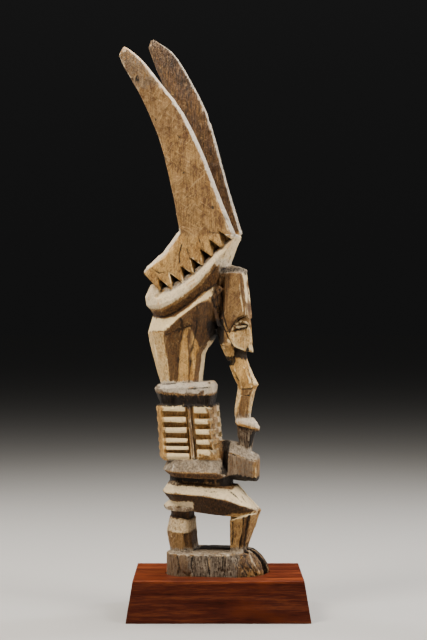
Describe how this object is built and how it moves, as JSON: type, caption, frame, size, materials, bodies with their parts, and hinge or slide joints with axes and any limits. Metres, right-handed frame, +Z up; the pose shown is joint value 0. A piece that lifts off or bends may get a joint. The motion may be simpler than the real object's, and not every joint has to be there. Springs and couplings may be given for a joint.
{
  "type": "carved shrine figure on plinth",
  "caption": "Seated horned spirit figure carved in wood, with tall backswept horns, a pipe in its mouth and a box in its lap, set in a recess on a red hardwood plinth.",
  "frame": {"origin": "middle of the plinth's underside, on the surface that it stands on", "axes": "+Z up; +X along the plinth's long sides, towards the side that the figure faces; +Y along its short sides, towards the figure's left. The figure itself stands turned by 9 degrees to the right on the plinth"},
  "size_m": [0.1873, 0.133, 0.5799],
  "materials": {
    "carved_wood": "weathered, adze-cut and dry, with bleached upper edges and dark recesses",
    "plinth_wood": "satin polished red hardwood"
  },
  "bodies": {
    "root": {"figure": "carved_wood", "plinth": "plinth_wood"}
  },
  "joints": []
}
